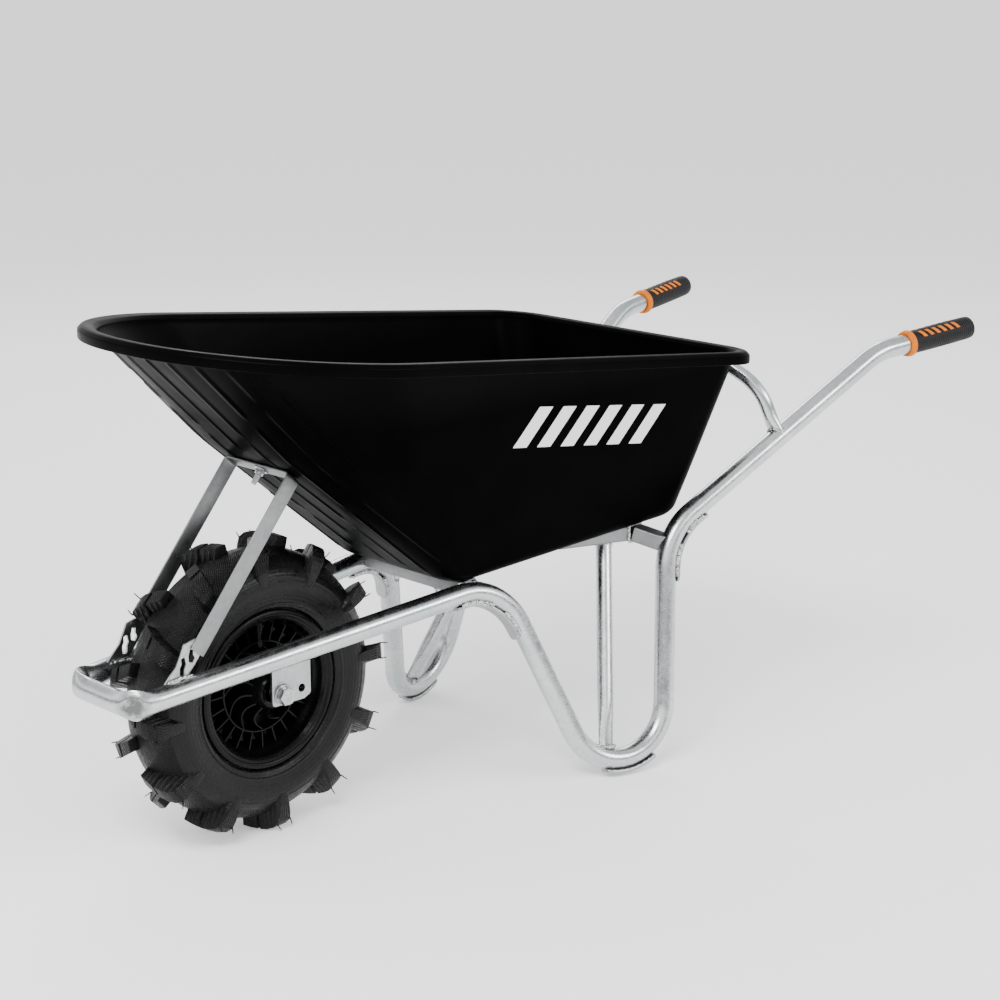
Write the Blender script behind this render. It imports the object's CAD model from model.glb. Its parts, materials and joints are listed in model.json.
"""A single-wheel barrow: a galvanised tube frame, a black moulded tray and a pneumatic wheel."""
import json
import math
import random

import bmesh
import bpy
from mathutils import Matrix, Vector, noise


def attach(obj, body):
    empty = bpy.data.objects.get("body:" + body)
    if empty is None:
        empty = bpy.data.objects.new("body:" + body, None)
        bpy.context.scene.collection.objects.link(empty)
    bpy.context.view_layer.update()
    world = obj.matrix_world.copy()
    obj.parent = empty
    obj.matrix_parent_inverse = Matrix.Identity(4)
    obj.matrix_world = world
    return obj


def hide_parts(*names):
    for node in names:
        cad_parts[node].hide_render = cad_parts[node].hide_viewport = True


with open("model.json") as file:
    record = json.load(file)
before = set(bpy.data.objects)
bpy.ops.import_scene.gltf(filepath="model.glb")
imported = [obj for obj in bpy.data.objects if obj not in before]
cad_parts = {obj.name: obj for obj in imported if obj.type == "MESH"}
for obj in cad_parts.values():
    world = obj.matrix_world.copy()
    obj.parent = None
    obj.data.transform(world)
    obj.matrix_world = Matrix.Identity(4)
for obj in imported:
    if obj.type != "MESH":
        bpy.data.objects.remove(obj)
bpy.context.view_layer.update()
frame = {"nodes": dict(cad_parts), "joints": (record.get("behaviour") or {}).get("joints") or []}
AXLE = Vector(frame["joints"][0]["pos_m"])
WHEEL_CENTRE = (AXLE.x, 0, AXLE.z)
ACROSS = (0, 1, 0)
SIDES = ((1, "left"), (-1, "right"))
random.seed(7)

# Sizes in millimetres, measured from the axle along X and from the ground along Z.
# The main tube's corners before its bends, left side, and its bend radii.
TUBE = 16.0
NOSE = (246, 69, 254)
FRONT_BEND = (-371, 126, 313)
FOOT = (-550, 298, -221)
REAR_BEND = (-658, 199, 346)
HANDLE_BEND = (-1070, 281, 588)
HANDLE_END = (-1270, 313, 607)
NOSE_RADIUS, FRONT_RADIUS, FOOT_RADIUS, REAR_RADIUS, HANDLE_RADIUS = 22, 95, 86, 110, 120
TUBE_RADII = [FRONT_RADIUS, FOOT_RADIUS, REAR_RADIUS, HANDLE_RADIUS]
NOSE_PRESS = 36.0
FACET_DEPTH = 7.8
AXLE_HEIGHT = 214.0
BAR_DEPTH = -12.8
FRONT_BAR_X = -318
RAIL_X = -633
TRAY_WALL = 5.0
LIP_OUT = 22.0
LIP_DROP = 19.0
KNEE = 0.56
FLOOR_SLOPE = 0.1018
FLOOR_NORMAL = Vector((FLOOR_SLOPE, 0, 1)).normalized()


def at(x, y, z):
    """A point in the row frame, in metres."""
    return Vector((AXLE.x + x / 1000, y / 1000, z / 1000))


def sided(point, side):
    return Vector((point[0], point[1] * side, point[2]))


def mix(a, b, t):
    return a + (b - a) * t


def smooth(t):
    t = min(1.0, max(0.0, t))
    return t * t * (3 - 2 * t)


def floor_z(x):
    return 292.6 - FLOOR_SLOPE * x


def rim_z(x):
    return 710.4 + 0.1094 * x


def off_floor(x, y, distance):
    """A point in mm at a distance from the underside of the tray's floor."""
    return Vector((x, y, floor_z(x))) + FLOOR_NORMAL * distance


def nose_corner_middle(side):
    """The middle of the tube's tight bend at a nose corner, and the way out of the bend."""
    corner = sided(NOSE, side)
    back = (sided(FRONT_BEND, side) - corner).normalized()
    across = Vector((0, -side, 0))
    outward = -(back + across).normalized()
    turn = math.pi - back.angle(across)
    return corner - outward * NOSE_RADIUS * (1 / math.cos(turn / 2) - 1), outward


NOSE_CORNERS = [nose_corner_middle(side) for side in (1, -1)]
NOSE_FACETS = [at(*(middle + outward * FACET_DEPTH)) for middle, outward in NOSE_CORNERS]


# ---------------------------------------------------------------- materials

class Nodes:
    """A short way to write a node tree: a new material's, or the one given."""

    def __init__(self, name="", tree=None):
        if tree is None:
            self.material = bpy.data.materials.new(name)
            self.material.use_nodes = True
            tree = self.material.node_tree
            self.shader = tree.nodes["Principled BSDF"]
        self.tree = tree
        place = self.add("ShaderNodeTexCoord")
        self.place, self.normal = place.outputs["Object"], place.outputs["Normal"]
        self.direction = place.outputs["Generated"]

    def add(self, kind, links=None, **settings):
        node = self.tree.nodes.new(kind)
        for key, value in settings.items():
            setattr(node, key, value)
        for key, value in (links or {}).items():
            self.put(node.inputs[key], value)
        return node

    def put(self, socket, value):
        if isinstance(value, bpy.types.NodeSocket):
            self.tree.links.new(value, socket)
        else:
            socket.default_value = value

    def set(self, **values):
        for key, value in values.items():
            self.put(self.shader.inputs[key.replace("_", " ")], value)

    def noise(self, scale, detail=4.0, vector=None, rough=0.5):
        node = self.add("ShaderNodeTexNoise", {
            "Vector": vector or self.place, "Scale": scale, "Detail": detail, "Roughness": rough})
        return node.outputs["Fac"]

    def stretched(self, scale):
        return self.add("ShaderNodeMapping", {"Vector": self.place, "Scale": scale}).outputs[0]

    def ramp(self, value, *stops):
        node = self.add("ShaderNodeValToRGB", {"Fac": value})
        elements = node.color_ramp.elements
        while len(elements) < len(stops):
            elements.new(0.5)
        for element, (position, colour) in zip(elements, stops):
            element.position = position
            if not isinstance(colour, tuple):
                colour = (colour,) * 3
            element.color = (*colour, 1)
        return node.outputs["Color"]

    def math(self, operation, a, b=0.0):
        return self.add("ShaderNodeMath", {0: a, 1: b}, operation=operation).outputs[0]

    def plus(self, a, b):
        return self.math("ADD", a, b)

    def minus(self, a, b):
        return self.math("SUBTRACT", a, b)

    def times(self, a, b):
        return self.math("MULTIPLY", a, b)

    def split(self, vector):
        return self.add("ShaderNodeSeparateXYZ", {"Vector": vector}).outputs

    def blend(self, factor, a, b, mode="MIX"):
        node = self.add("ShaderNodeMix", data_type="RGBA", blend_type=mode)
        self.put(node.inputs[0], factor)
        for socket, value in ((node.inputs[6], a), (node.inputs[7], b)):
            self.put(socket, (*value, 1) if isinstance(value, tuple) else value)
        return node.outputs[2]

    def bump(self, height, strength, distance):
        node = self.add("ShaderNodeBump", {
            "Height": height, "Strength": strength, "Distance": distance})
        self.put(self.shader.inputs["Normal"], node.outputs[0])


def near_point(n, spots, radius):
    """1 close to any of the spots, falling to 0 at the radius; metres."""
    found = None
    for spot in spots:
        apart = n.add("ShaderNodeVectorMath", {0: n.place, 1: spot}, operation="DISTANCE")
        close = n.minus(1.0, n.math("DIVIDE", apart.outputs["Value"], radius))
        found = close if found is None else n.math("MAXIMUM", found, close)
    return n.ramp(found, (0.0, 0.0), (0.85, 1.0))


def galvanised(name, bright, rough, blue=0.5, dull_spots=()):
    """Zinc-coated steel: faint spangles, blue patches, smudges and drawn scratches."""
    n = Nodes(name)
    cells = n.add("ShaderNodeTexVoronoi", {"Vector": n.place, "Scale": 150.0})
    spangle = n.ramp(cells.outputs["Color"], (0.0, 0.74), (1.0, 1.0))
    dark, light, bluish = (tuple(c * bright for c in shade) for shade in (
        (0.60, 0.62, 0.635), (0.80, 0.815, 0.82), (0.50, 0.62, 0.64)))
    base = n.ramp(n.noise(7.0, 5.0), (0.3, dark), (0.7, light))
    tint = n.ramp(n.noise(13.0, 3.0), (0.52, 0.0), (0.72, blue))
    base = n.blend(0.5, n.blend(tint, base, bluish), spangle, "MULTIPLY")
    if dull_spots:
        patchy = n.ramp(n.noise(110.0, 5.0), (0.34, 0.45), (0.62, 1.0))
        dull = n.times(near_point(n, dull_spots, 0.027), patchy)
        base = n.blend(n.times(dull, 1.5), base, (0.13, 0.13, 0.13))
    smudge = n.noise(55.0, 6.0, rough=0.65)
    scratches = n.noise(60.0, 3.0, n.stretched((1.0, 9.0, 9.0)))
    worn = n.plus(n.times(smudge, 0.6), n.times(scratches, 0.4))
    n.set(Base_Color=base, Metallic=1.0,
          Roughness=n.ramp(worn, (0.3, rough - 0.07), (0.7, rough + 0.13)))
    n.bump(n.plus(n.times(smudge, 0.7), n.times(n.noise(420.0, 3.0), 0.3)), 0.035, 0.0010)
    return n.material


def mottled(name, patches, shades, rough, grain, wear=None, **settings):
    """Two shades and two roughnesses in soft patches, under a fine grain."""
    n = Nodes(name)
    patch = n.noise(*patches)
    worn = n.noise(*wear) if wear else patch
    grain_scale, grain_detail, strength, depth = grain
    n.set(Base_Color=n.ramp(patch, (0.3, shades[0]), (0.7, shades[1])),
          Roughness=n.ramp(worn, (0.3, rough[0]), (0.7, rough[1])), **settings)
    n.bump(n.noise(grain_scale, grain_detail), strength, depth)
    return n.material


def bare_metal(name, colour):
    dark = tuple(c * 0.72 for c in colour)
    return mottled(name, (90.0, 5.0), (dark, colour), (0.20, 0.38), (900.0, 2.0, 0.12, 0.0005),
                   Metallic=1.0)


def weld_metal():
    n = Nodes("weld_metal")
    patch = n.noise(260.0, 6.0, rough=0.7)
    n.set(Base_Color=n.ramp(patch, (0.35, (0.22, 0.215, 0.21)), (0.65, (0.78, 0.78, 0.77))),
          Metallic=1.0, Roughness=n.ramp(patch, (0.3, 0.18), (0.75, 0.5)))
    n.bump(patch, 0.8, 0.0016)
    return n.material


# The slanted bars on the tray's sides, in metres.
MARK_X, MARK_Z = 0.058, 0.553
MARK_LEAN, MARK_TILT = 0.55, 0.125
MARK_PITCH, MARK_COUNT, MARK_FILL = 0.052, 6, 0.56
MARK_HALF_HEIGHT = 0.029


def tray_polymer():
    """Satin black polymer with fine grain and plain slanted pale bars on both sides."""
    n = Nodes("satin_black_polymer")
    scuff = n.noise(30.0, 6.0, n.stretched((0.35, 1.0, 1.0)), rough=0.7)
    base = n.ramp(n.noise(9.0, 5.0), (0.3, (0.0007, 0.0007, 0.00075)),
                  (0.7, (0.0014, 0.0014, 0.0015)))
    x, y, z = n.split(n.place)
    rise = n.minus(z, MARK_Z)
    along = n.plus(n.minus(x, MARK_X), n.times(rise, MARK_LEAN))
    tilted = n.minus(rise, n.times(along, MARK_TILT))
    half_length = MARK_PITCH * MARK_COUNT / 2
    phase = n.math("FRACT", n.math("DIVIDE", n.plus(along, half_length), MARK_PITCH))
    inside = n.times(n.math("LESS_THAN", n.math("ABSOLUTE", along), half_length),
                     n.math("LESS_THAN", n.math("ABSOLUTE", tilted), MARK_HALF_HEIGHT))
    outer_side = n.math("GREATER_THAN", n.times(y, n.split(n.normal)["Y"]), 0.05)
    mask = n.times(n.times(n.math("LESS_THAN", phase, MARK_FILL), inside), outer_side)
    n.set(Base_Color=n.blend(mask, base, (0.80, 0.80, 0.80)),
          Roughness=n.ramp(scuff, (0.3, 0.26), (0.7, 0.36)),
          Specular_IOR_Level=n.ramp(z, (0.60, 0.0035), (0.68, 0.014)))
    n.bump(n.plus(n.times(n.noise(700.0, 3.0), 0.6), n.times(scuff, 0.4)), 0.16, 0.0006)
    return n.material


def tyre_rubber():
    """Rubber with cross-hatched tread ground, thin rings on the sidewall and dusty patches."""
    n = Nodes("dusty_rubber")
    x, y, z = n.split(n.add("ShaderNodeVectorMath", {0: n.place, 1: AXLE},
                            operation="SUBTRACT").outputs[0])
    turns = n.math("DIVIDE", n.math("ARCTAN2", z, x), 2 * math.pi)
    radius = n.math("SQRT", n.plus(n.times(x, x), n.times(z, z)))
    dust = n.noise(26.0, 6.0, rough=0.65)
    blotch = n.noise(150.0, 5.0, rough=0.6)
    n.set(Base_Color=n.ramp(n.plus(n.times(dust, 0.65), n.times(blotch, 0.35)),
                            (0.3, (0.0010, 0.0010, 0.0011)), (0.75, (0.0050, 0.0048, 0.0047))),
          Roughness=n.ramp(blotch, (0.3, 0.20), (0.7, 0.50)), Specular_IOR_Level=0.18)
    round_way = n.times(turns, 300.0)
    out_way = n.times(n.math("ABSOLUTE", y), 260.0)
    slanted, crossed = (n.math("SINE", n.times(way, 2 * math.pi))
                        for way in (n.plus(round_way, out_way), n.minus(round_way, out_way)))
    hatch = n.math("MAXIMUM", slanted, n.times(crossed, 0.6))
    rings = n.times(n.math("SINE", n.times(radius, 1050.0)), 0.10)
    on_tread = n.math("GREATER_THAN", radius, 0.174)
    fine = n.plus(rings, n.times(on_tread, n.minus(hatch, rings)))
    n.bump(n.plus(n.times(fine, 0.8), n.times(blotch, 0.7)), 0.8, 0.0011)
    return n.material


STEEL = galvanised("galvanised_tube", 0.80, 0.24, dull_spots=NOSE_FACETS)
DULL_STEEL = galvanised("galvanised_bar", 0.36, 0.42, 0.25)
PLATE_STEEL = galvanised("galvanised_plate", 0.60, 0.32, 0.35)
ZINC = bare_metal("zinc_plate", (0.50, 0.515, 0.52))
BEARING = bare_metal("ground_steel", (0.60, 0.61, 0.62))
WELD = weld_metal()
TRAY = tray_polymer()
RIM = mottled("gloss_black_polymer", (24.0, 5.0),
              ((0.0012, 0.0012, 0.0013), (0.0028, 0.0028, 0.0030)),
              (0.20, 0.34), (500.0, 3.0, 0.12, 0.0005), wear=(70.0, 5.0), Specular_IOR_Level=0.12)
RUBBER = tyre_rubber()
GRIP = mottled("soft_grip", (40.0, 5.0), ((0.004, 0.004, 0.0045), (0.010, 0.010, 0.011)),
               (0.44, 0.6), (1100.0, 2.0, 0.35, 0.0005), Specular_IOR_Level=0.16)
ORANGE = mottled("bright_orange", (60.0, 4.0), ((0.50, 0.115, 0.0005), (0.62, 0.155, 0.001)),
                 (0.34, 0.46), (800.0, 2.0, 0.15, 0.0004), Specular_IOR_Level=0.15)


# ---------------------------------------------------------------- mesh helpers

def piece(name, vertices, faces, material, body="frame", replaced=(), bevel=0.0, sharp=35):
    """A closed mesh that rides on a body and stands for CAD nodes. Vertices are in metres."""
    mesh = bpy.data.meshes.new(name)
    mesh.from_pydata([tuple(v) for v in vertices], [], faces)
    shape = bmesh.new()
    shape.from_mesh(mesh)
    bmesh.ops.remove_doubles(shape, verts=shape.verts, dist=1e-6)
    bmesh.ops.recalc_face_normals(shape, faces=shape.faces)
    if bevel:
        limit = math.radians(sharp)
        edges = [e for e in shape.edges if len(e.link_faces) == 2 and e.calc_face_angle(0) > limit]
        bmesh.ops.bevel(shape, geom=edges, offset=bevel / 1000, offset_type="OFFSET",
                        segments=2, profile=0.5, affect="EDGES", clamp_overlap=True)
    shape.to_mesh(mesh)
    shape.free()
    mesh.polygons.foreach_set("use_smooth", [True] * len(mesh.polygons))
    mesh.set_sharp_from_angle(angle=math.radians(sharp + 8))
    mesh.materials.append(material)
    made = bpy.data.objects.new(name, mesh)
    bpy.context.scene.collection.objects.link(made)
    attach(made, body)
    if replaced:
        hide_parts(*replaced)
    return made


def merged(parts):
    """Several (vertices, faces) shapes as one."""
    vertices, faces = [], []
    for more_vertices, more_faces in parts:
        first = len(vertices)
        vertices += more_vertices
        faces += [[first + i for i in face] for face in more_faces]
    return vertices, faces


def ring_faces(rings, size, closed=False, caps=False):
    """Quads from each ring of size vertices to the next; closed joins the last to the first."""
    faces = []
    for i in range(rings if closed else rings - 1):
        here, following = i * size, (i + 1) % rings * size
        for k in range(size):
            n = (k + 1) % size
            faces.append([here + k, here + n, following + n, following + k])
    if caps:
        faces += [list(range(size))[::-1], [(rings - 1) * size + k for k in range(size)]]
    return faces


def bend(before, corner, after, radius, steps):
    """The arc that rounds off a corner: its points, each with the way out of the bend."""
    arriving = (corner - before).normalized()
    leaving = (after - corner).normalized()
    turn = arriving.angle(leaving)
    inward = (leaving - arriving * leaving.dot(arriving)).normalized()
    centre = corner - arriving * radius * math.tan(turn / 2) + inward * radius
    angles = [turn * k / steps for k in range(steps + 1)]
    outward = [arriving * math.sin(a) - inward * math.cos(a) for a in angles]
    return [(centre + out * radius, out) for out in outward]


def rounded_path(corners, radii, step=7.0):
    """Points in mm along straight runs joined by arcs, about a step apart."""
    corners = [Vector(c) for c in corners]
    points = [corners[0]]

    def run_to(target):
        start = points[-1]
        count = max(1, round((target - start).length / step))
        points.extend(start.lerp(target, k / count) for k in range(1, count + 1))

    for before, corner, after, radius in zip(corners, corners[1:], corners[2:], radii):
        turn = (corner - before).angle(after - corner)
        if turn < 1e-3:
            continue
        arc = bend(before, corner, after, radius, max(4, round(radius * turn / (step * 0.6))))
        run_to(arc[0][0])
        points += [point for point, _ in arc[1:]]
    run_to(corners[-1])
    return points


def rounded_outline(corners, radii, steps=5):
    """A closed 2D outline with rounded corners."""
    points = []
    for i, radius in enumerate(radii):
        before, corner, after = (Vector(corners[(i + k) % len(corners)]) for k in (-1, 0, 1))
        if radius < 0.05 or (corner - before).angle(after - corner) < 1e-3:
            points.append(tuple(corner))
        else:
            points += [tuple(point) for point, _ in bend(before, corner, after, radius, steps)]
    return points


def loft(points, section, across=None, change=None, caps=True):
    """Sweeps a section (a, b) in mm along points in mm. across fixes the section's a axis."""
    side = None
    vertices = []
    for i, point in enumerate(points):
        tangent = (points[min(i + 1, len(points) - 1)] - points[max(i - 1, 0)]).normalized()
        if across is not None:
            side = Vector(across)
        elif side is None:
            side = tangent.cross(Vector((0, 0, 1)))
        side = (side - tangent * side.dot(tangent)).normalized()
        up = side.cross(tangent)
        for a, b in section:
            if change:
                a, b = change(i, point, a, b)
            vertices.append(at(*(point + side * a + up * b)))
    return vertices, ring_faces(len(points), len(section), caps=caps)


def hollow_loft(points, outer, inner, across=None, change=None):
    """A tube with an open bore: the two skins and the rings that close them at the ends."""
    skin, bore = (loft(points, section, across, change, caps=False) for section in (outer, inner))
    first, size = len(skin[0]), len(outer)
    faces = skin[1] + [[first + i for i in face][::-1] for face in bore[1]]
    for start in (0, first - size):
        for k in range(size):
            n = (k + 1) % size
            faces.append([start + k, start + n, first + start + n, first + start + k])
    return skin[0] + bore[0], faces


def circle(radius, sides=32):
    return [(radius * math.cos(2 * math.pi * k / sides), radius * math.sin(2 * math.pi * k / sides))
            for k in range(sides)]


def rectangle(a, b, corner, steps=3):
    points = []
    for sign_a, sign_b, start in ((1, -1, -90), (1, 1, 0), (-1, 1, 90), (-1, -1, 180)):
        for k in range(steps + 1):
            angle = math.radians(start + 90 * k / steps)
            points.append((sign_a * (a / 2 - corner) + corner * math.cos(angle),
                           sign_b * (b / 2 - corner) + corner * math.sin(angle)))
    return points


def lathe(profile, origin, axis, segments=48, closed=False):
    """Turns (radius, distance) in mm about an axis through origin, which is in metres."""
    axis = Vector(axis).normalized()
    u = axis.orthogonal().normalized()
    v = axis.cross(u)
    vertices, faces, rings = [], [], []
    for radius, distance in profile:
        centre = Vector(origin) + axis * (distance / 1000)
        if radius < 1e-6:
            rings.append([len(vertices)] * segments)
            vertices.append(centre)
            continue
        rings.append(list(range(len(vertices), len(vertices) + segments)))
        vertices += [centre + u * (a / 1000) + v * (b / 1000) for a, b in circle(radius, segments)]
    following = rings[1:] + rings[:1] if closed else rings[1:]
    for ring, after in zip(rings, following):
        for k in range(segments):
            n = (k + 1) % segments
            face = list(dict.fromkeys((ring[k], ring[n], after[n], after[k])))
            if len(face) > 2:
                faces.append(face)
    return vertices, faces


def plate(outline, holes, near, far):
    """An upright plate in the X-Z plane with holes, between two values of y. All in mm."""
    curve = bpy.data.curves.new("plate", "CURVE")
    curve.dimensions = "2D"
    curve.fill_mode = "BOTH"
    curve.extrude = abs(far - near) / 2
    for ring in [outline, *holes]:
        spline = curve.splines.new("POLY")
        spline.points.add(len(ring) - 1)
        for point, (x, z) in zip(spline.points, ring):
            point.co = (x, z, 0, 1)
        spline.use_cyclic_u = True
    holder = bpy.data.objects.new("plate", curve)
    mesh = bpy.data.meshes.new_from_object(holder)
    middle = (near + far) / 2
    vertices = [at(v.co.x, middle - v.co.z, v.co.y) for v in mesh.vertices]
    faces = [list(p.vertices) for p in mesh.polygons]
    bpy.data.objects.remove(holder)
    bpy.data.curves.remove(curve)
    bpy.data.meshes.remove(mesh)
    return vertices, faces


def bead(name, points, radius, wild=0.35):
    """A weld bead along points in mm: overlapping ripples of uneven height."""
    path = []
    for a, b in zip(points, points[1:]):
        count = max(2, round((b - a).length / 1.1))
        path += [a.lerp(b, k / count) for k in range(count)]
    path.append(points[-1])
    swell = []
    for i, point in enumerate(path):
        ripple = 0.16 * math.sin(i * 1.9)
        lump = noise.noise(point * 0.16) + noise.noise(point * 0.55 + Vector((9, 3, 5))) * 0.6
        ends = min(1.0, 0.35 + i / 3, 0.35 + (len(path) - 1 - i) / 3)
        swell.append(max(0.35, 1 + ripple + lump * wild) * ends)
    shifts = [Vector(shift) for shift in ((0, 0, 0), (5, 0, 0), (0, 7, 0))]
    path = [p + Vector([noise.noise(p * 0.3 + s) for s in shifts]) * radius * 0.22 for p in path]
    shape = loft(path, circle(radius, 10), change=lambda i, p, a, b: (a * swell[i], b * swell[i]))
    piece(name, *shape, WELD, sharp=60)


def weld_ring(name, centre, run, u, half_u, half_v, radius, shift):
    """A weld bead round the end of a tube; shift gives its place along the run."""
    v = run.cross(u)
    turns = [2 * math.pi * k / 20 for k in range(21)]
    bead(name, [centre + u * half_u * math.cos(t) + v * half_v * math.sin(t) + run * shift(t)
                for t in turns], radius)


# ---------------------------------------------------------------- frame

def corners_of(side, *points):
    return [sided(point, side) for point in points]


def tube_line(side, step):
    """One side tube's centre line, from the nose corner to the handle's end."""
    corners = corners_of(side, NOSE, FRONT_BEND, FOOT, REAR_BEND, HANDLE_BEND, HANDLE_END)
    return rounded_path(corners, TUBE_RADII, step)


def rail(side):
    """The straight run above the axle: its start at the nose and its direction."""
    base, end = corners_of(side, NOSE, FRONT_BEND)
    return base, (end - base).normalized()


def pressed(i, point, a, b):
    """The nose corners are pressed flat on the outside and stand taller, with a pinched crest."""
    for middle, _ in NOSE_CORNERS:
        distance = (point - middle).length
        if distance < NOSE_PRESS:
            press = smooth(1 - distance / NOSE_PRESS)
            steep = abs(b) / TUBE
            b *= 1 + 0.46 * press * steep ** 1.5
            a *= 1 - press * (0.18 + 0.62 * steep ** 4)
    return a, b


def flattened_nose(vertices):
    """Cuts the outside of each nose corner back to a flat diamond with a shallow dent."""
    for middle, outward in NOSE_CORNERS:
        origin = at(*middle)
        for k, vertex in enumerate(vertices):
            offset = vertex - origin
            over = offset.dot(outward) - FACET_DEPTH / 1000
            if offset.length <= 0.05 and over > 0:
                dent = 0.0016 * math.exp(-(offset.length / 0.012) ** 2)
                vertices[k] = vertex - outward * (over * 0.97 + dent)
    return vertices


def main_tube():
    right, left = (corners_of(side, NOSE, FRONT_BEND, FOOT, REAR_BEND, HANDLE_BEND, HANDLE_END)
                   for side in (-1, 1))
    radii = [*TUBE_RADII[::-1], NOSE_RADIUS, NOSE_RADIUS, *TUBE_RADII]
    vertices, faces = loft(rounded_path(right[::-1] + left, radii, 4.0), circle(TUBE, 48),
                           change=pressed)
    piece("main_tube", flattened_nose(vertices), faces, STEEL, sharp=18,
          replaced=["frame_tube_left", "frame_tube_right", "frame_nose"])


def bar(name, path, replaced, change=None):
    """A square bar under the tray."""
    section, bore = rectangle(25, 25, 3.5), rectangle(21, 21, 2.0)
    piece(name, *hollow_loft(path, section, bore, FLOOR_NORMAL, change), DULL_STEEL,
          replaced=[replaced])


def cross_members():
    ends = [off_floor(FRONT_BAR_X, y, BAR_DEPTH) for y in (-118, 118)]
    bar("front_cross_bar", rounded_path(ends, [], 20), "front_cross_member")
    corners = [off_floor(x, y, BAR_DEPTH) for x, y in (
        (RAIL_X, 155), (RAIL_X, 146), (-535, 79), (-535, -79), (RAIL_X, -146), (RAIL_X, -155))]
    bar("rear_rail", rounded_path(corners, [16] * 4, 8), "rear_cross_rail")
    for side, name in SIDES:
        start = off_floor(RAIL_X, side * 155.3, BAR_DEPTH)
        target = Vector((RAIL_X, side * 205, 344))
        goal = min(tube_line(side, 4), key=lambda p: (p - target).length)
        path = rounded_path([start, start.lerp(goal, 0.93)], [], 6)
        last = len(path) - 1

        def squeezed(i, point, a, b):
            press = smooth((i - last + 3.0) / 3.0)
            return a * (1 + 0.06 * press), b * (1 - 0.30 * press)

        bar(f"rear_stub_bar_{name}", path, f"rear_stub_{name}", squeezed)
        seam = off_floor(RAIL_X, side * 155, BAR_DEPTH)
        square = [(a * 12.9 / max(abs(a), abs(b)), b * 12.9 / max(abs(a), abs(b)))
                  for a, b in circle(1, 16)]
        bead(f"rail_seam_weld_{name}",
             [seam + Vector((b, 0, a)) for a, b in square + square[:1]], 2.6)


def cross_bar_welds():
    for side, name in SIDES:
        near = [p for p in tube_line(side, 3) if -342 < p.x < -296 and p.z > 200]
        path = [p + Vector((0, -side * 6, TUBE * 0.94)) for p in near]
        bead(f"cross_bar_weld_{name}", path, 2.6, wild=0.8)


def struts():
    steps = 40
    for side, name in SIDES:
        front, apex, rear = corners_of(side, FRONT_BEND, FOOT, REAR_BEND)
        foot = bend(front, apex, rear, FOOT_RADIUS, 18)[6][0]
        head = Vector((-604, side * 118, 334))
        start = foot.lerp(head, 0.045)

        def squeezed(i, point, a, b):
            press = 1 - smooth(i / 9)
            return a * (1 + 0.20 * press), b * (1 - 0.55 * press)

        shape = loft([start.lerp(head, k / steps) for k in range(steps + 1)], circle(12.5),
                     across=(apex - front).normalized(), change=squeezed)
        piece(f"leg_strut_{name}", *shape, STEEL, replaced=[f"strut_{name}"])
        run = (head - foot).normalized()
        u = run.orthogonal().normalized()
        weld_ring(f"strut_foot_weld_{name}", foot + run * 19, run, u, 12.2, 12.2, 2.6,
                  lambda t: -3.5 * abs(math.cos(t)))
        weld_ring(f"strut_head_weld_{name}", head - run * 12, run, u, 12.2, 12.2, 1.5,
                  lambda t: 0.0)


def hoop():
    half = [(-871, 242, 471), (-852, 217, 552), (-822, 130, 603)]
    points = rounded_path(half + corners_of(-1, *half[::-1]), [90] * 4, 6)

    def flattened_ends(i, point, a, b):
        press = 1 - smooth(min(i, len(points) - 1 - i) / 7)
        return a * (1 - 0.48 * press), b * (1 + 0.42 * press)

    shape = loft(points, circle(11.0), across=(-1, 0, 0.25), change=flattened_ends)
    piece("rear_hoop_tube", *shape, STEEL, replaced=["rear_hoop"])
    for side, name in SIDES:
        start, following = corners_of(side, *half[:2])
        run = (following - start).normalized()
        u = (Vector((1, 0, 0)) - run * run.x).normalized()
        weld_ring(f"hoop_weld_{name}", start, run, u, 7.6, 14.6, 2.4,
                  lambda t: 14 + 3.5 * math.cos(2 * t))


def bend_strip(name, corners, radius, offset, section, straight, replaced, keep=(0, 40)):
    """A flat bar that follows one bend and narrows at its ends, with straight tails."""
    before, corner, after = corners
    arc = [p + out * offset for p, out in bend(before, corner, after, radius, 40)]
    arc = arc[keep[0]:keep[1] + 1]
    head = (arc[0] - arc[1]).normalized() * straight
    tail = (arc[-1] - arc[-2]).normalized() * straight
    points = [arc[0] + head * (1 - k / 5) for k in range(5)] + arc
    points += [arc[-1] + tail * k / 5 for k in range(1, 6)]
    normal = (corner - before).cross(after - corner).normalized()

    def tapered(i, point, a, b):
        end = min((point - points[0]).length, (point - points[-1]).length)
        return a * mix(0.62, 1.0, math.sqrt(min(1.0, end / 5))), b

    piece(name, *loft(points, rectangle(*section, 1.2, 2), across=normal, change=tapered),
          PLATE_STEEL, replaced=[replaced], sharp=30)
    return points, normal


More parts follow.
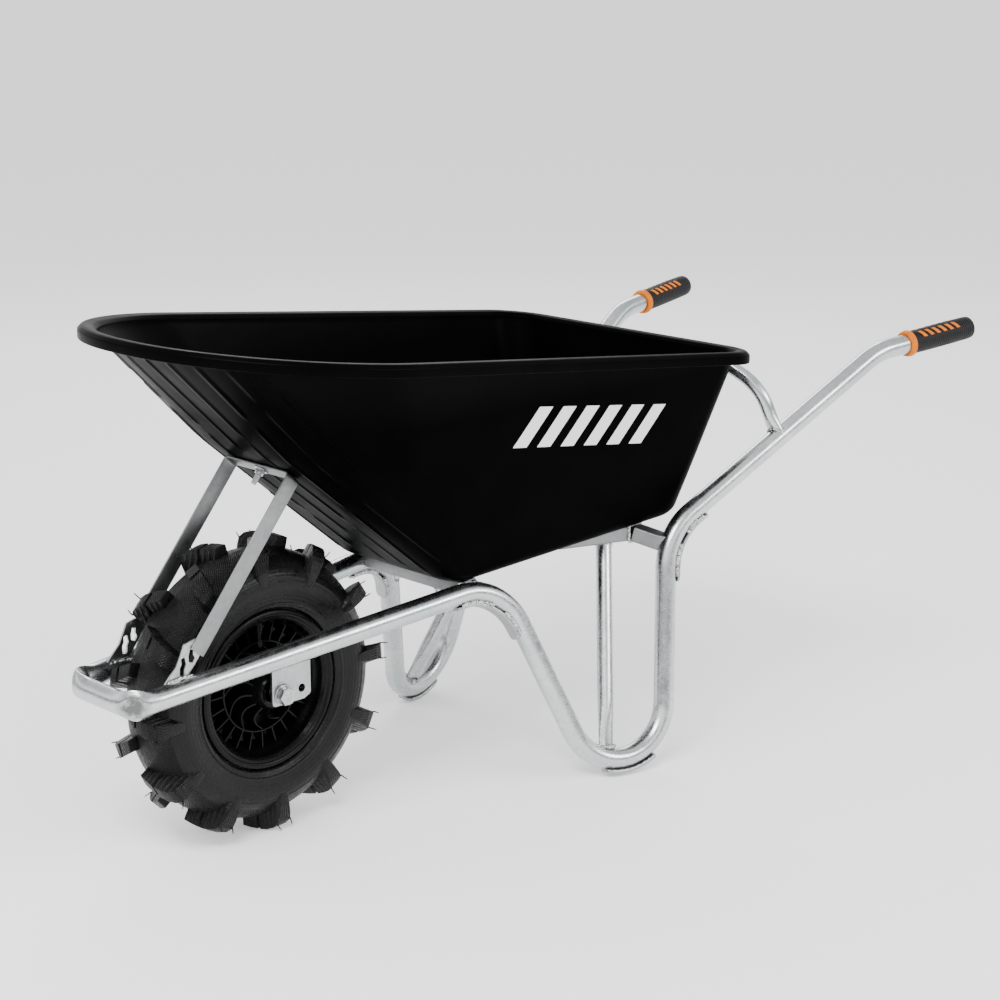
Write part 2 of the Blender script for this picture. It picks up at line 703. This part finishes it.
def strips():
    """The gusset strips inside the upper bends and the skid strips under the feet."""
    inside = -(TUBE + 0.4 + 2)
    for side, name in SIDES:
        for label, bent, radius, straight in (
                ("front", (NOSE, FRONT_BEND, FOOT), FRONT_RADIUS, 14),
                ("rear", (FOOT, REAR_BEND, HANDLE_BEND), REAR_RADIUS, 20)):
            corners = corners_of(side, *bent)
            points, normal = bend_strip(f"{label}_gusset_strip_{name}", corners, radius, inside,
                                        (22, 4), straight, f"{label}_gusset_{name}")
            arc = bend(*corners, radius, 40)
            for edge, edge_name in ((1, "l"), (-1, "r")):
                path = []
                for p in points[2:-2:2]:
                    out = min(arc, key=lambda pair: (pair[0] - p).length)[1]
                    path.append(p + normal * edge * 10.4 + out * 3.7)
                for part, run in (("a", path[:len(path) // 2]),
                                  ("b", path[-(len(path) // 3 + 1):])):
                    bead(f"{label}_gusset_weld_{part}{edge_name}_{name}", run, 3.1, wild=0.6)
        sole = corners_of(side, FRONT_BEND, FOOT, REAR_BEND)
        _, normal = bend_strip(f"skid_strip_{name}", sole, FOOT_RADIUS, TUBE + 0.4 + 2.5,
                               (26, 5), 4, f"skid_plate_{name}", keep=(14, 26))
        arc = bend(*sole, FOOT_RADIUS, 40)[15:26]
        for edge, edge_name in ((1, "l"), (-1, "r")):
            path = [p + out * (TUBE + 1.5) + normal * edge * 11.0 for p, out in arc]
            bead(f"skid_weld_{edge_name}_{name}", path, 1.9)


# ---------------------------------------------------------------- tray brace and axle plates

WALL_FOOT = Vector((-262.0, 0, 337.3))
WALL_KNEE = Vector((1.3, 0, 549.8))
WALL_UP = (WALL_KNEE - WALL_FOOT).normalized()
BRACE_AXIS = Vector((-WALL_UP.z, 0, WALL_UP.x))
STRIP_MIDDLE = WALL_KNEE - WALL_UP * 44 - BRACE_AXIS * 1.8
BRACE_LENGTH = 275.0
BRACE_Y = 70.0
BRACE_FOOT = STRIP_MIDDLE - BRACE_AXIS * BRACE_LENGTH
# The tab's outline and its two ragged slots: along the wall and down the brace, with radii.
TAB = (((-8, 48), (-8, -16), (12, -16), (24, 0), (17, 30), (20, 62)), [0, 3, 4, 4, 8, 0])
TAB_SLOT = (((14, 13), (17, 19), (12, 24), (11, 30), (4, 39), (-2, 34), (3, 27), (5, 20)),
            [1.5, 2, 1, 1.5, 2, 2, 1, 1.5])
TAB_NOTCH = (((12, 1), (7, -2), (3, 4), (-3, 7), (-4, 14), (3, 16), (8, 10)),
             [1.5, 1.5, 1, 1.5, 1.5, 1.5, 1.5])


def on_brace(along, down):
    return BRACE_FOOT + WALL_UP * along - BRACE_AXIS * down


def brace():
    top = STRIP_MIDDLE + Vector((0, BRACE_Y, 0))
    bottom = top - BRACE_AXIS * BRACE_LENGTH
    points = rounded_path([bottom, top, sided(top, -1), sided(bottom, -1)], [6, 6], 10)
    shape = loft(points, rectangle(25, 3, 0.7, 2), across=WALL_UP)
    piece("brace_strap", *shape, DULL_STEEL, replaced=["tray_brace"], sharp=30)
    outline, slot, notch = (rounded_outline([on_brace(*c).xz for c in corners], radii)
                            for corners, radii in (TAB, TAB_SLOT, TAB_NOTCH))
    for side, name in SIDES:
        near = side * (BRACE_Y - 1.8)
        shape = plate(outline, [slot, notch], near - side * 3, near)
        piece(f"slotted_tab_{name}", *shape, PLATE_STEEL, replaced=[f"brace_tab_{name}"],
              bevel=0.5, sharp=40)
        base, along = rail(side)
        for label, offset in (("inner", -5.5), ("outer", 2.6)):
            y = near + side * offset
            path = []
            for k in range(9):
                centre = base + along * (56 + 5.2 * k)
                height = math.sqrt(max(1, TUBE ** 2 - (y - centre.y) ** 2))
                path.append(Vector((centre.x, y, centre.z + height + 0.4)))
            bead(f"tab_weld_{label}_{name}", path, 2.3, wild=0.6)
        for label, corner in (("a", (-9, -8)), ("b", (13, -4))):
            spot = on_brace(*corner)
            spot.y = side * 67.5
            bead(f"brace_foot_weld_{label}_{name}", [spot, spot + WALL_UP * 8], 1.9, wild=0.6)


def axle_plates():
    outline = rounded_outline([(-50, 288), (-50, 205), (-38, 199.5), (18, 199), (18, 282)],
                              [0, 5, 5, 5, 0])
    holes = [[(x + a, z + b) for a, b in circle(radius, 28)]
             for x, z, radius in ((0, AXLE_HEIGHT, 8.5), (-34, 216, 6))]
    for side, name in SIDES:
        near = side * 69.5
        piece(f"axle_lug_plate_{name}", *plate(outline, holes, near, near + side * 5),
              PLATE_STEEL, replaced=[f"axle_plate_{name}"], bevel=0.6, sharp=40)
        base, along = rail(side)
        for label, y in (("outer", 76.0), ("inner", 68.0)):
            path = []
            for x in range(14, -51, -8):
                centre = base + along * ((base.x - x) / -along.x)
                reach = math.sqrt(max(4, TUBE ** 2 - (y - abs(centre.y)) ** 2))
                path.append(Vector((x, side * y, centre.z - reach - 0.6)))
            bead(f"plate_weld_{label}_{name}", path, 1.9, wild=0.5)


def thread(origin, axis, radius, start, end, pitch=1.5):
    """A threaded shank as stacked crests along the axis."""
    profile = [(0, start)]
    distance = start
    while distance + pitch <= end:
        profile += [(radius - 0.55, distance + 0.15), (radius, distance + pitch * 0.45),
                    (radius, distance + pitch * 0.55)]
        distance += pitch
    profile += [(radius - 0.9, end), (0, end)]
    return lathe(profile, origin, axis, 32)


def hexagon(origin, axis, radius, start, end, bore=0.0, turn=0.0):
    """A hexagonal head or nut with chamfered corners."""
    axis = Vector(axis).normalized()
    u = Matrix.Rotation(turn, 3, axis) @ axis.orthogonal().normalized()
    v = axis.cross(u)
    segments = 48
    chamfer = 1.0
    flat = radius * math.cos(math.pi / 6)
    rings = [(start, flat), (start + chamfer, radius), (end - chamfer, radius), (end, flat)]
    if bore:
        rings += [(end, bore), (start, bore)]
    vertices = []
    for distance, trim in rings:
        for k in range(segments):
            angle = 2 * math.pi * k / segments
            local = (angle + math.pi / 6) % (math.pi / 3) - math.pi / 6
            reach = min(flat / math.cos(local), trim)
            out = u * math.cos(angle) + v * math.sin(angle)
            vertices.append(Vector(origin) + axis * (distance / 1000) + out * (reach / 1000))
    return vertices, ring_faces(len(rings), segments, closed=bool(bore), caps=not bore)


def washer(origin, axis, outer, inner, start, end):
    edge = 0.5
    return lathe([(inner, start), (outer - edge, start), (outer, start + edge), (outer, end - edge),
                  (outer - edge, end), (inner, end)], origin, axis, 48, closed=True)


def axle_fasteners():
    head = 77.6
    raised = [(0, head + 10.6), (5.5, head + 10.6), (6.5, head + 10), (6.5, head + 9),
              (0, head + 9)]
    shank = [(0, -head - 17), (7, -head - 17), (8, -head - 16), (8, head + 1), (0, head + 1)]
    parts = [hexagon(WHEEL_CENTRE, ACROSS, 13.5, head, head + 10, turn=0.3),
             *(lathe(profile, WHEEL_CENTRE, ACROSS, 32) for profile in (raised, shank)),
             thread(WHEEL_CENTRE, ACROSS, 8.05, -head - 17, -head + 14)]
    piece("axle_bolt_hex", *merged(parts), ZINC, replaced=["axle_bolt"])
    nut = hexagon(WHEEL_CENTRE, ACROSS, 13.5, -head - 12, -head, bore=8.2, turn=0.1)
    piece("axle_nut_hex", *nut, ZINC, replaced=["axle_nut"])
    for side, name in SIDES:
        start, end = sorted((side * 74.8, side * 77.3))
        piece(f"axle_flat_washer_{name}", *washer(WHEEL_CENTRE, ACROSS, 15, 8.4, start, end), ZINC,
              replaced=[f"axle_washer_{name}"])


def carriage_bolt(origin, axis, length):
    """A domed head at the origin with its threaded shank along the axis."""
    radius = 9
    head = [(0, -4.5)]
    for k in range(1, 9):
        angle = k / 8 * math.pi / 2
        head.append(((radius - 0.4) * math.sin(angle), -4.5 * math.cos(angle) - 0.4))
    head += [(radius, 0.0), (4, 0.0), (4, length - 14), (0, length - 14)]
    return merged([lathe(head, origin, axis, 32),
                   thread(origin, axis, 4.05, length - 16, length, 1.25)])


def tray_fasteners():
    down = -FLOOR_NORMAL
    for side, name in SIDES:
        for label, x, y in (("front", -318, 48), ("rear", -535, 45)):
            face = at(*off_floor(x, side * y, TRAY_WALL + 0.3))
            piece(f"carriage_bolt_{label}_{name}", *carriage_bolt(face, down, 45), ZINC,
                  replaced=[f"tray_bolt_{label}_{name}"])
            under = at(*off_floor(x, side * y, -25.6))
            nut = hexagon(under, down, 7.5, 1.6, 7.6, bore=4.2, turn=0.2 * side)
            ring = washer(under, down, 9.5, 4.4, 0.3, 1.5)
            piece(f"flange_nut_{label}_{name}", *merged([nut, ring]), ZINC,
                  replaced=[f"tray_nut_{label}_{name}"])
    wall = TRAY_WALL * WALL_UP.z + 1
    head = at(*(STRIP_MIDDLE + BRACE_AXIS * (2.1 + wall)))
    piece("strip_bolt", *carriage_bolt(head, -BRACE_AXIS, 32), ZINC, replaced=["brace_top_bolt"])
    face = at(*(STRIP_MIDDLE - BRACE_AXIS * 1.5))
    parts = [washer(face, -BRACE_AXIS, 10.5, 4.4, 0.3, 1.8),
             hexagon(face, -BRACE_AXIS, 7.5, 1.9, 8.2, bore=4.2, turn=0.35)]
    piece("strip_nut", *merged(parts), ZINC, replaced=["brace_top_nut"])


def grips():
    length, ring = 142.0, 10.0
    mouth = length - ring - 0.3
    profile = [(0, -4.6), (13, -4.6), (16.4, -3.9), (18.0, -2.2), (18.4, 0.4), (18.3, 3)]
    distance = 5.0
    while distance < mouth - 4:
        swell = 0.55 * math.sin(math.pi * distance / mouth)
        profile += [(18.2 + swell, distance), (18.65 + swell, distance + 0.7),
                    (18.65 + swell, distance + 3.2), (18.2 + swell, distance + 3.9)]
        distance += 4.6
    profile += [(18.8, mouth - 1), (18.2, mouth), (16.3, mouth), (16.3, 0.3), (0, 0.3)]
    collar = [(16.3, length - ring), (20.6, length - ring), (21.6, length - ring + 1),
              (21.8, length - ring + 3), (21.2, length - ring + 6), (20.4, length - 0.8),
              (19.4, length), (16.3, length)]
    for side, name in SIDES:
        end = at(*sided(HANDLE_END, side))
        forward = (at(*sided(HANDLE_BEND, side)) - end).normalized()
        piece(f"handle_grip_{name}", *lathe(profile, end, forward, 64), GRIP,
              replaced=[f"grip_{name}"], sharp=32)
        piece(f"grip_collar_{name}", *lathe(collar, end, forward, 64, closed=True), ORANGE,
              replaced=[f"grip_ring_{name}"], sharp=50)
        stripes(end, forward, name)


def stripes(end, forward, name):
    """Plain slanted bars, wrapped round the outer and the inner side of a grip."""
    up = (Vector((0, 0, 1)) - forward * forward.z).normalized()
    across = forward.cross(up)
    columns, rows = 5, 7
    section = [(19.55, c) for c in range(columns)] + [(19.0, c) for c in range(columns)][::-1]
    parts = []
    for face in (1, -1):
        for k in range(6):
            vertices = []
            for r in range(rows):
                angle = math.radians(30 + 38 * r / (rows - 1))
                out = across * face * math.cos(angle) + up * math.sin(angle)
                for layer, c in section:
                    along = 30 + 15.0 * k + 7.0 * c / (columns - 1) + 7.0 * r / (rows - 1)
                    vertices.append(end + forward * (along / 1000) + out * (layer / 1000))
            parts.append((vertices, ring_faces(rows, len(section), caps=True)))
    piece(f"grip_stripes_{name}", *merged(parts), ORANGE)


# ---------------------------------------------------------------- tray

FLOOR_OUTLINE = dict(front=-285, rear=-731, half_front=126, half_rear=182,
                     round_front=36, round_rear=48)
RIM_OUTLINE = dict(front=178, rear=-778, half_front=266, half_rear=257,
                   round_front=254, round_rear=56)
ARC_FRONT, ARC_REAR, FLAT_FRONT, FLAT_SIDE, FLAT_REAR = 110, 18, 52, 26, 30
HALF_FRONT = ARC_FRONT + FLAT_FRONT // 2
RIDGE_PITCH = 48.0
FLOOR_FILLET = 18
FILLET_TOP = 0.045
WALL_HEIGHT = 400
LIP_RADII = [0, 0, 1.8, 1.2, 1.6, 4.4, 6, 9, 8, 3, 0]
LIP_CORNERS = [
    (0, -8), (0.6, -7.9), (LIP_OUT - 4.4, -7.2), (LIP_OUT - 4.4, -LIP_DROP + 0.3),
    (LIP_OUT, -LIP_DROP), (LIP_OUT, -6.5), (LIP_OUT - 5, -1.2), (LIP_OUT / 2, 0), (1.0, -1.8),
    (-TRAY_WALL, -7.5), (-TRAY_WALL, -12)]


def knee_bulge(t):
    """How far the front wall stands forward at height t, eased over the knee."""
    rising, falling = t / KNEE, (1 - t) / (1 - KNEE)
    ease = 0.06
    gap = max(0.0, ease - abs(rising - falling)) / ease
    return 27 * (min(rising, falling) - ease * gap * gap * 0.25)


def outline(t, out):
    """The tray's outline at height fraction t: points (x, y) and normals, in mm."""
    size = {key: mix(FLOOR_OUTLINE[key], RIM_OUTLINE[key], t) for key in FLOOR_OUTLINE}
    front = size["front"] + knee_bulge(t) + out
    rear = size["rear"] - out
    half_front, half_rear = size["half_front"] + out, size["half_rear"] + out
    round_front, round_rear = (max(size[key] + out, 4) for key in ("round_front", "round_rear"))
    corners = [Vector(c) for c in (
        (front, -half_front), (front, half_front), (rear, half_rear), (rear, -half_rear))]
    arcs = [bend(corners[i - 1], corners[i], corners[(i + 1) % 4], radius, steps)
            for i, (radius, steps) in enumerate(
                [(round_front, ARC_FRONT)] * 2 + [(round_rear, ARC_REAR)] * 2)]
    ring = []
    for arc, following, flat in zip(arcs, arcs[1:] + arcs[:1],
                                    (FLAT_FRONT, FLAT_SIDE, FLAT_REAR, FLAT_SIDE)):
        ring += arc
        here, there = arc[-1], following[0]
        for k in range(1, flat):
            ring.append((here[0].lerp(there[0], k / flat), here[1].lerp(there[1], k / flat)))
    return ring


def ridge_height(t, run, normal_x):
    """Raised flutes on the front wall, in groups parted by plain V-shaped bands."""
    reach = abs(run)
    facing = smooth((normal_x - 0.45) / 0.25) * smooth((225 - reach) / 30)
    if facing <= 0:
        return 0.0
    phase = (run / RIDGE_PITCH + 0.5) % 1 - 0.5
    shape = math.cos(phase * math.pi / 0.28) ** 2 if abs(phase) < 0.14 else 0.0
    upper = 0.54 + 0.0019 * reach
    lower = 0.17 + 0.0019 * reach
    soft = 0.012
    bands = ((0.06, lower - 0.018), (lower + 0.018, upper - 0.02), (upper + 0.02, 0.955))
    window = max(smooth((t - start) / soft) * smooth((end - t) / soft) for start, end in bands)
    return 2.6 * shape * window * facing


def wall_ring(t, out, height=None, rise=0.0, flutes=False):
    """The tray's ring at height fraction t, or at a height above its floor, moved out and up."""
    floor_ring, rim_ring, ring = outline(0, out), outline(1, out), outline(t, out)
    runs = [0.0] * len(ring)
    for step in (1, -1):
        k, run = HALF_FRONT, 0.0
        for _ in range(HALF_FRONT - 1):
            run += (ring[(k + step) % len(ring)][0] - ring[k][0]).length * step
            k = (k + step) % len(ring)
            runs[k] = run
    points = []
    for i, (spot, normal) in enumerate(ring):
        low_x, high_x = floor_ring[i][0].x, rim_ring[i][0].x
        if height is not None:
            z = floor_z(spot.x) + height
        else:
            z = mix(floor_z(low_x), rim_z(high_x), t) + rise
            if t < KNEE:
                fillet_top = floor_z(mix(low_x, high_x, FILLET_TOP)) + FLOOR_FILLET
                straight = mix(floor_z(low_x), rim_z(high_x), FILLET_TOP)
                z += (fillet_top - straight) * (KNEE - t) / (KNEE - FILLET_TOP)
        if flutes:
            spot = spot + normal * ridge_height(t, runs[i], normal.x)
        points.append(at(spot.x, spot.y, z))
    return points


def fillet(radius, lift, out):
    """The rounded foot of a wall, from the floor up."""
    rings = []
    for k in range(9):
        angle = math.pi / 2 * k / 8
        rise = lift + radius * (1 - math.cos(angle))
        inset = radius * (1 - math.sin(angle))
        rings.append(wall_ring(rise / WALL_HEIGHT, out - inset, height=rise))
    return rings


def tray():
    """Outer fillet and wall, rolled lip, inner wall and fillet, and the floor's two faces."""
    rings = fillet(FLOOR_FILLET, 0, 0)
    rows = 76
    for k in range(1, rows + 1):
        t = mix(FILLET_TOP, 1.0, k / rows)
        rings.append(wall_ring(t, 0, rise=-8 * max(0.0, t - KNEE) / (1 - KNEE), flutes=True))
    for out, rise in rounded_outline(LIP_CORNERS, LIP_RADII, 4)[1:-1]:
        rings.append(wall_ring(1, out, rise=rise))
    rows = 40
    for k in range(rows + 1):
        t = mix(1.0, FILLET_TOP + 0.0125, k / rows)
        rings.append(wall_ring(t, -TRAY_WALL, rise=-12 * max(0.0, t - KNEE) / (1 - KNEE)))
    rings += fillet(13, TRAY_WALL, -TRAY_WALL)[::-1]
    vertices = [p for ring in rings for p in ring]
    around = len(rings[0])
    faces = ring_faces(len(rings), around)
    for first, height in ((0, 0.0), ((len(rings) - 1) * around, TRAY_WALL)):
        faces += [[first + k, first + (k + 1) % around, len(vertices)] for k in range(around)]
        vertices.append(at(-508, 0, floor_z(-508) + height))
    piece("tray_shell", vertices, faces, TRAY, replaced=["tray"], sharp=60)


# ---------------------------------------------------------------- wheel

CARCASS = [(197, 0), (195.5, 14), (190, 30), (180, 43), (168.5, 51.5), (157, 55.5), (146, 55.5),
           (134, 53), (124, 50), (119, 47.5), (117.2, 44), (116.8, 40.4)]
# Raised rings on the sidewall: radius, width and height.
SIDE_RINGS = ((128.5, 1.6, 1.9), (134, 1.2, 0.9), (165, 1.5, 1.0), (171.5, 1.2, 0.6))
LUGS = 12
# Stations along a lug: top (radius, y), foot (radius, y), half widths of top and foot.
LUG_INNER = [((212.4, 1), (184, 1), 9.0, 13.0), ((213.4, 12), (184, 12), 9.6, 13.6),
             ((213.8, 22), (182, 22), 10.2, 14.4)]
LUG_BRIDGE = [((206.5, 20), (182, 20), 8.0, 11.0), ((206.5, 29), (181, 28), 8.6, 11.6)]
LUG_OUTER = [((213.8, 26), (184, 25), 10.4, 14.6), ((212.2, 36), (179, 33), 11.2, 15.6),
             ((208.2, 45.5), (172, 40), 12.0, 16.6), ((201.0, 52), (166, 44), 12.4, 17.4),
             ((189, 55.4), (160, 47), 11.2, 17.0), ((176, 56.8), (156, 49), 9.6, 15.0),
             ((164, 56.9), (151, 50), 8.2, 12.0), ((155, 56.0), (147, 50), 6.6, 9.0)]
WHISKER_Y = 52


def both_sides(half):
    """A profile listed from the middle plane outward, with its mirror image before it."""
    return [(r, -y) for r, y in half[::-1] if y > 0] + list(half)


def turned(profile, side, segments):
    """A closed ring about the axle, on one side of the wheel."""
    profile = [(r, side * y) for r, y in profile]
    return lathe(profile, WHEEL_CENTRE, ACROSS, segments, closed=True)


def wheel_point(radius, y, angle):
    return Vector((AXLE.x + radius * math.sin(angle) / 1000, y / 1000,
                   AXLE.z + radius * math.cos(angle) / 1000))


def softened(profile, times=2):
    """Cuts the corners of an open profile so that it turns smoothly."""
    for _ in range(times):
        cut = [profile[0]]
        for (r0, y0), (r1, y1) in zip(profile, profile[1:]):
            cut += [(mix(r0, r1, t), mix(y0, y1, t)) for t in (0.25, 0.75)]
        profile = [*cut, profile[-1]]
    return profile


def tyre():
    ringed = [(r, y + sum(rise * math.exp(-((r - centre) / width) ** 2)
                          for centre, width, rise in SIDE_RINGS)) for r, y in softened(CARCASS)]
    dense = []
    for (r0, y0), (r1, y1) in zip(ringed, ringed[1:]):
        count = max(1, round(math.hypot(r1 - r0, y1 - y0) / 1.6))
        dense += [(mix(r0, r1, k / count), mix(y0, y1, k / count)) for k in range(count)]
    dense.append(ringed[-1])
    inner = [(189, 0), (173, 36), (150, 48), (121, 31), (115, 34), (104.2, 33.4), (104.2, 40.4)]
    carcass = turned(both_sides(dense) + both_sides(inner)[::-1], 1, 160)
    piece("tyre_carcass", *carcass, RUBBER, "wheel", replaced=["tyre"], sharp=40)
    lugs, hairs = [], []
    for side in (1, -1):
        for k in range(LUGS):
            offset = 0 if side > 0 else 0.5
            lug, tips = tyre_lug((k + offset) * 2 * math.pi / LUGS, side)
            lugs += lug
            hairs += [hair(*tip) for tip in tips]
    piece("tyre_lugs", *merged(lugs), RUBBER, "wheel", bevel=1.0, sharp=30)
    piece("tyre_vent_hairs", *merged(hairs), RUBBER, "wheel")


def tyre_lug(turn, side):
    """One slanted bar of the tread, stepped across a groove, and where its two whiskers start."""
    parts, tips = [], []
    for stations in (LUG_INNER, LUG_BRIDGE, LUG_OUTER):
        vertices = []
        for (top_radius, top_y), (foot_radius, foot_y), top, foot in stations:
            slant = min(top_y, 50) * 0.5 - 12 + (213 - top_radius) * 0.06
            corners = ((foot_radius, foot_y, -foot), (top_radius, top_y, -top),
                       (top_radius, top_y, top), (foot_radius, foot_y, foot))
            vertices += [wheel_point(radius, side * y, turn + (across + slant) / 205)
                         for radius, y, across in corners]
            if top_y == WHISKER_Y:
                angle = turn + slant / 205
                tips = vertices[-3:-1]
        parts.append((vertices, ring_faces(len(stations), 4, caps=True)))
    out = []
    for position in tips:
        direction = Vector((math.sin(angle) * 0.75, side * 0.75, math.cos(angle) * 0.75))
        direction += Vector([random.uniform(-0.25, 0.25) for _ in range(3)])
        out.append((position, direction.normalized()))
    return parts, out


def hair(start, direction):
    """A thin rubber whisker left by the mould's vent."""
    length = random.uniform(9.0, 15.0)
    sag = Vector([random.uniform(-1, 1) for _ in range(3)]) * 1.2
    start = (start - Vector((AXLE.x, 0, 0))) * 1000
    points = [start + direction * (length * t - 1.2) + sag * t * t
              for t in (0, 0.25, 0.5, 0.75, 1)]
    return loft(points, circle(1.05, 6),
                change=lambda i, p, a, b: (a * (1 - i * 0.09), b * (1 - i * 0.09)))


def fin(start_radius, end_radius, turn, thickness, steps, side, front, back, sweep=lambda t: 0.0):
    """An upright blade in the wheel's dish; front and back give its edges' y along the way."""
    vertices = []
    for k in range(steps + 1):
        t = k / steps
        radius = mix(start_radius, end_radius, t)
        half = thickness / 2 / radius
        for across, y in ((-half, back(t)), (-half, front(t)), (half, front(t)), (half, back(t))):
            vertices.append(wheel_point(radius, side * y, turn + sweep(t) + across))
    return vertices, ring_faces(steps + 1, 4, caps=True)


def rim():
    outer = [(90, 0), (90, 16), (96, 24), (101, 29), (103, 34), (103, 41), (115, 41), (116, 42.5)]
    face = [(116, 44.5), (114.8, 46.6), (112.5, 48), (109.5, 48), (107.6, 46.8), (106.4, 45.2),
            (104.6, 44.9), (102.6, 44.3), (101.4, 42.6), (99.6, 41.2), (98.6, 38.5), (97.6, 34),
            (96.4, 31), (94, 27.5), (91.8, 24.8), (91.2, 21), (86, 12), (84, 5.5), (80, 5),
            (28.4, 5)]
    dish = turned(both_sides(outer) + face + [(r, -y) for r, y in face[::-1]], 1, 128)
    piece("rim_dish", *dish, RIM, "wheel", replaced=["wheel_rim"], sharp=28)
    ring = [(64.4, 6), (64.4, 25.6), (65, 26.2), (66.6, 26.2), (67.2, 25.6), (67.2, 6)]
    for side, name in SIDES:
        parts = [turned(ring, side, 96)]
        for k in range(24):
            parts.append(fin(66.5, 94, 2 * math.pi * k / 24, 2.0, 4, side,
                             lambda t: mix(25.2, 25.6, t), lambda t: mix(4, 20, t ** 2)))
        for k in range(12):
            parts.append(fin(25, 65, 2 * math.pi * (k + 0.25) / 12, 2.6, 12, side,
                             lambda t: mix(43, 24.5, smooth(t ** 0.7)), lambda t: 4,
                             lambda t: 0.42 * smooth(t) * t - 0.10 * math.sin(math.pi * t)))
        piece(f"rim_ribs_{name}", *merged(parts), RIM, "wheel", sharp=30)


def hub():
    end = 58.0
    barrel = [(17.8, end), (23, end), (24, end - 1), (25.5, end - 8), (28, end - 14), (29.5, 30),
              (31, 12), (33, 4.5), (12.8, 4.5), (12.8, 46.6), (17.8, 46.6)]
    seal = [(8.4, end), (17.4, end), (17.4, 57.2), (12.5, 56.6), (8.4, 56.8)]
    for side, name in SIDES:
        piece(f"hub_half_{name}", *turned(barrel, side, 64), RIM, "wheel",
              replaced=["hub"] if side > 0 else (), sharp=30)
        piece(f"bearing_seal_{name}", *turned(seal, side, 48), BEARING, "wheel", sharp=30)


def valve():
    base = Vector(WHEEL_CENTRE) + Vector((0, 0.024, 0))
    stem = [(0, 58), (2.8, 58), (3.4, 58.8), (3.4, 69.4), (2.9, 70), (2.5, 70.2), (2.5, 76),
            (3.6, 77.4), (4.2, 80), (4.6, 92), (4.6, 99), (0, 99)]
    piece("valve_rubber_stem", *lathe(stem, base, (0, 0, 1), 24), RUBBER, "wheel",
          replaced=["valve_stem"], sharp=30)


# ---------------------------------------------------------------- stage, light and camera

def add_to_scene(name, data):
    made = bpy.data.objects.new(name, data)
    bpy.context.scene.collection.objects.link(made)
    return made


def aim(thing, place, target):
    thing.location = place
    thing.rotation_euler = (Vector(target) - Vector(place)).to_track_quat("-Z", "Y").to_euler()


def stage():
    size = 60.0
    mesh = bpy.data.meshes.new("floor")
    mesh.from_pydata([(-size, -size, 0), (size, -size, 0), (size, size, 0), (-size, size, 0)], [],
                     [[0, 1, 2, 3]])
    n = Nodes("pale_floor")
    n.set(Base_Color=(0.90, 0.90, 0.90, 1), Roughness=0.9, Specular_IOR_Level=0.1,
          Emission_Color=(1, 1, 1, 1), Emission_Strength=0.34)
    mesh.materials.append(n.material)
    add_to_scene("floor", mesh)


def area_light(name, place, target, power, width, height):
    light = bpy.data.lights.new(name, "AREA")
    light.shape = "RECTANGLE"
    light.size = width
    light.size_y = height
    light.energy = power
    aim(add_to_scene(name, light), place, target)


def lights():
    """A soft studio: pale all round, with a thin dark band low on the camera's side."""
    world = bpy.data.worlds.new("studio")
    bpy.context.scene.world = world
    world.use_nodes = True
    n = Nodes(tree=world.node_tree)
    x, y, z = n.split(n.direction)
    near_side = n.ramp(n.plus(n.plus(x, y), 0.7), (0.0, 0.0), (0.45, 1.0))
    near, far = (n.ramp(z, *((height, (grey, grey, grey * 1.01)) for height, grey in stops))
                 for stops in (
        ((0.08, 0.7), (0.095, 0.03), (0.19, 0.08), (0.25, 1.0), (0.42, 1.6), (0.58, 0.55),
         (1.0, 0.75)),
        ((0.0, 0.7), (0.12, 0.7), (0.4, 1.0), (0.7, 0.5), (1.0, 0.75))))
    background = world.node_tree.nodes["Background"]
    n.put(background.inputs["Color"], n.blend(near_side, far, near))
    background.inputs["Strength"].default_value = 1.6
    area_light("key", (2.6, 1.0, 3.4), (0, 0, 0.3), 190, 2.6, 1.0)
    area_light("fill", (-1.6, 3.6, 2.2), (0, 0, 0.4), 80, 2.2, 0.8)
    area_light("back", (-2.4, -2.8, 2.8), (0, 0, 0.4), 60, 2.4, 1.2)


def camera():
    data = bpy.data.cameras.new("camera")
    data.lens = 79.35
    data.sensor_width = 36
    viewer = add_to_scene("camera", data)
    aim(viewer, (2.3152, 2.3749, 1.2453), (0.0133, 0, 0.392))
    bpy.context.scene.camera = viewer


main_tube()
cross_members()
cross_bar_welds()
struts()
hoop()
strips()
brace()
axle_plates()
axle_fasteners()
tray_fasteners()
grips()
tray()
tyre()
rim()
hub()
valve()
# The CAD's own pieces that stay as they are.
kept = {
    "inner_tube": RUBBER, "bearing_left": BEARING, "bearing_right": BEARING,
    "axle_spacer_left": ZINC, "axle_spacer_right": ZINC,
}
for node, material in kept.items():
    materials = frame["nodes"][node].data.materials
    materials.clear()
    materials.append(material)
stage()
lights()
camera()
